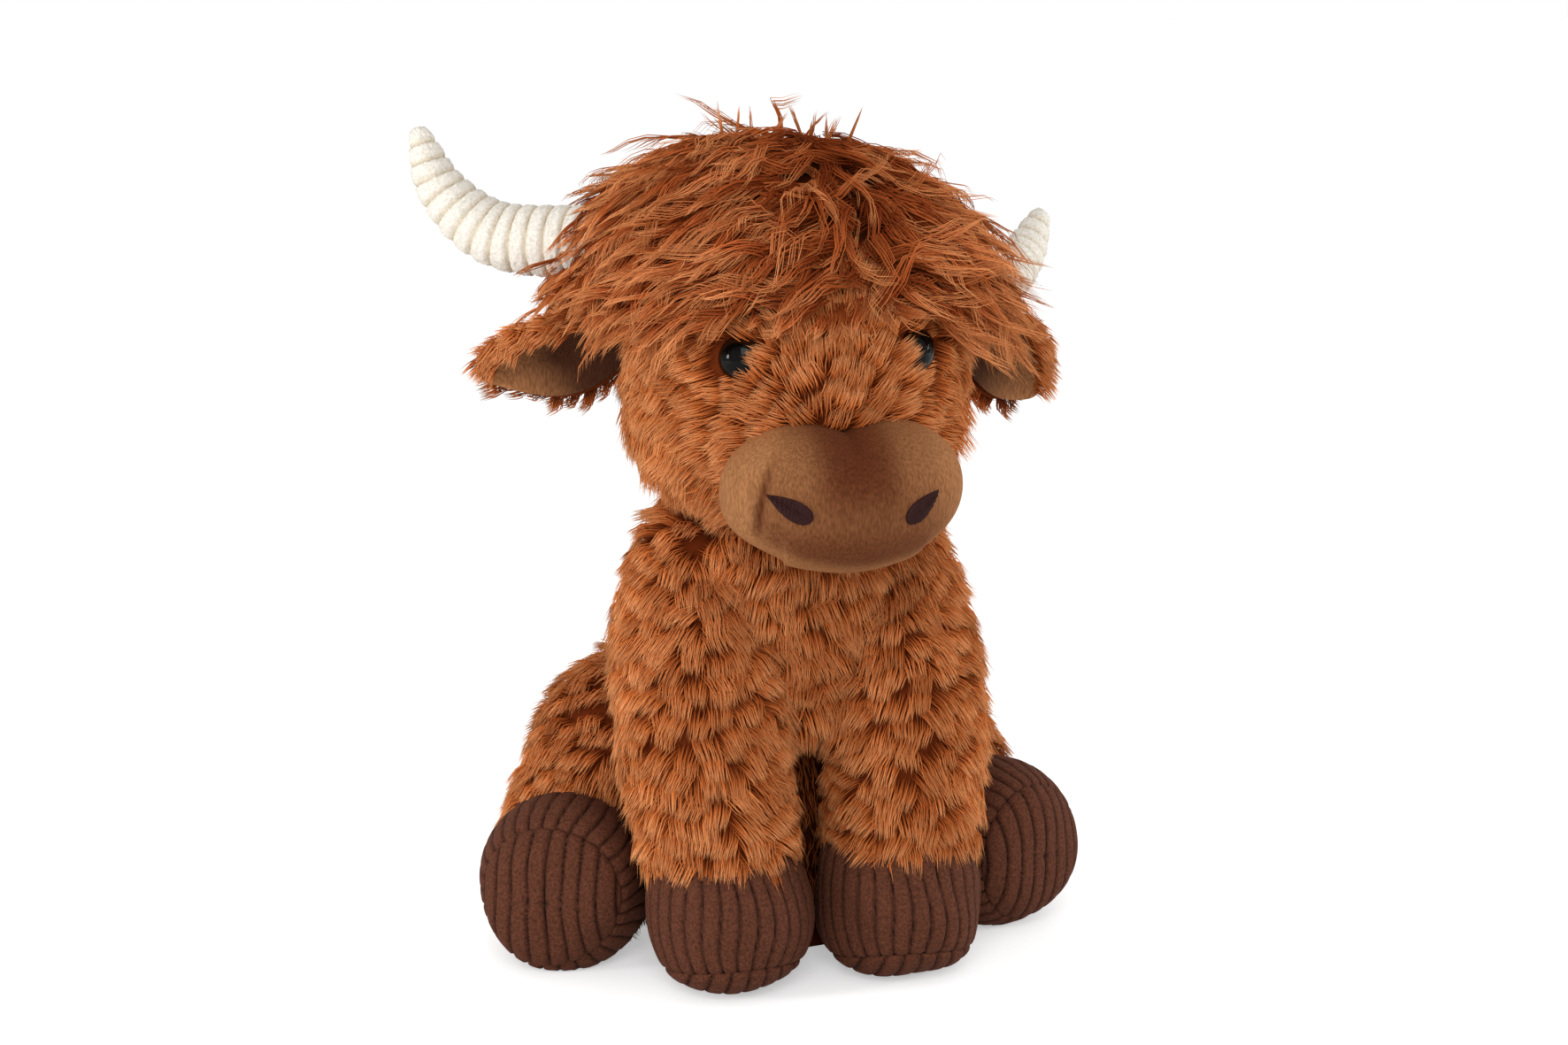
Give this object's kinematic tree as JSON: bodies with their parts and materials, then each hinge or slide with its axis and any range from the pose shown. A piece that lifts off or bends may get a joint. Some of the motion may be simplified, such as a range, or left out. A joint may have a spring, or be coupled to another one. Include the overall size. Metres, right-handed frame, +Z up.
{
  "type": "plush yak",
  "caption": "Sitting plush yak with short fur, a long shaggy forelock, corduroy horns and hooves, and a head, legs, ears, horns and tail that flex at their seams.",
  "frame": {"origin": "middle of the flat seat panel, on the surface that the toy sits on", "axes": "+Z up, the toy faces -Y, +X to its left side"},
  "size_m": [0.2506, 0.2077, 0.3061],
  "materials": {
    "fur": "short plush pile, matt",
    "long_hair": "long wavy pile, slight sheen",
    "muzzle_velour": "short velour, matt",
    "ear_velour": "short velour, matt",
    "nostril_thread": "satin stitch",
    "horn_corduroy": "wide-wale corduroy, matt",
    "hoof_corduroy": "wide-wale corduroy, matt",
    "eye": "gloss",
    "washer": "matt",
    "filling": "polyester fibre",
    "pellets": "matt"
  },
  "bodies": {
    "torso": {"seat_panel": "fur", "body_cover": "fur", "body_filling": "filling", "pellet_bag": "pellets"},
    "head": {"head_cover": "fur", "head_filling": "filling", "eye_right": "eye", "eye_washer_right": "washer", "eye_left": "eye", "eye_washer_left": "washer", "muzzle_cover": "muzzle_velour", "muzzle_filling": "filling", "nostril_right": "nostril_thread", "nostril_left": "nostril_thread", "forelock": "long_hair"},
    "right_horn": {"horn_right": "horn_corduroy", "horn_filling_right": "filling"},
    "left_horn": {"horn_left": "horn_corduroy", "horn_filling_left": "filling"},
    "right_ear": {"ear_right": "fur", "ear_lining_right": "ear_velour"},
    "left_ear": {"ear_left": "fur", "ear_lining_left": "ear_velour"},
    "front_right_leg": {"front_leg_right": "fur", "front_hoof_right": "hoof_corduroy", "front_sole_right": "hoof_corduroy", "front_leg_filling_right": "filling"},
    "front_left_leg": {"front_leg_left": "fur", "front_hoof_left": "hoof_corduroy", "front_sole_left": "hoof_corduroy", "front_leg_filling_left": "filling"},
    "rear_right_leg": {"rear_leg_right": "fur", "rear_hoof_right": "hoof_corduroy", "rear_sole_right": "hoof_corduroy", "rear_leg_filling_right": "filling"},
    "rear_left_leg": {"rear_leg_left": "fur", "rear_hoof_left": "hoof_corduroy", "rear_sole_left": "hoof_corduroy", "rear_leg_filling_left": "filling"},
    "tail": {"tail": "fur", "tail_tuft": "long_hair"}
  },
  "joints": [
    {"name": "neck_turn", "type": "hinge", "parent": "torso", "child": "head", "pos_m": [0, -0.023, 0.186], "axis": [0, 0, 1], "range_deg": [-20, 20], "stiffness_Nm_per_rad": 0.3},
    {"name": "horn_flex_right", "type": "hinge", "parent": "head", "child": "right_horn", "pos_m": [-0.04718, -0.03084, 0.2691], "axis": [0.4695, 0.8829, 0], "range_deg": [-8, 8], "stiffness_Nm_per_rad": 0.15},
    {"name": "horn_flex_left", "type": "hinge", "parent": "head", "child": "left_horn", "pos_m": [0.04718, -0.03084, 0.2691], "axis": [0.6691, -0.7431, 0], "range_deg": [-8, 8], "stiffness_Nm_per_rad": 0.15},
    {"name": "ear_fold_right", "type": "hinge", "parent": "head", "child": "right_ear", "pos_m": [-0.06329, -0.03467, 0.2342], "axis": [0.3558, 0.3047, -0.8835], "range_deg": [-20, 20], "stiffness_Nm_per_rad": 0.06},
    {"name": "ear_fold_left", "type": "hinge", "parent": "head", "child": "left_ear", "pos_m": [0.06329, -0.03467, 0.2342], "axis": [-0.6177, 0.0941, -0.7808], "range_deg": [-20, 20], "stiffness_Nm_per_rad": 0.06},
    {"name": "front_leg_swing_right", "type": "hinge", "parent": "torso", "child": "front_right_leg", "pos_m": [-0.04079, -0.04287, 0.16258], "axis": [-1, 0, 0], "range_deg": [0, 25], "stiffness_Nm_per_rad": 0.1},
    {"name": "front_leg_swing_left", "type": "hinge", "parent": "torso", "child": "front_left_leg", "pos_m": [0.04079, -0.04287, 0.16258], "axis": [-1, 0, 0], "range_deg": [0, 25], "stiffness_Nm_per_rad": 0.1},
    {"name": "rear_leg_splay_right", "type": "hinge", "parent": "torso", "child": "rear_right_leg", "pos_m": [-0.02113, 0.03877, 0.08589], "axis": [0, 0, -1], "range_deg": [0, 30], "stiffness_Nm_per_rad": 0.1},
    {"name": "rear_leg_splay_left", "type": "hinge", "parent": "torso", "child": "rear_left_leg", "pos_m": [0.02113, 0.03877, 0.08589], "axis": [0, 0, 1], "range_deg": [0, 30], "stiffness_Nm_per_rad": 0.1},
    {"name": "tail_swing", "type": "hinge", "parent": "torso", "child": "tail", "pos_m": [0, 0.04625, 0.04891], "axis": [0, 0, 1], "range_deg": [-20, 20], "stiffness_Nm_per_rad": 0.04}
  ]
}
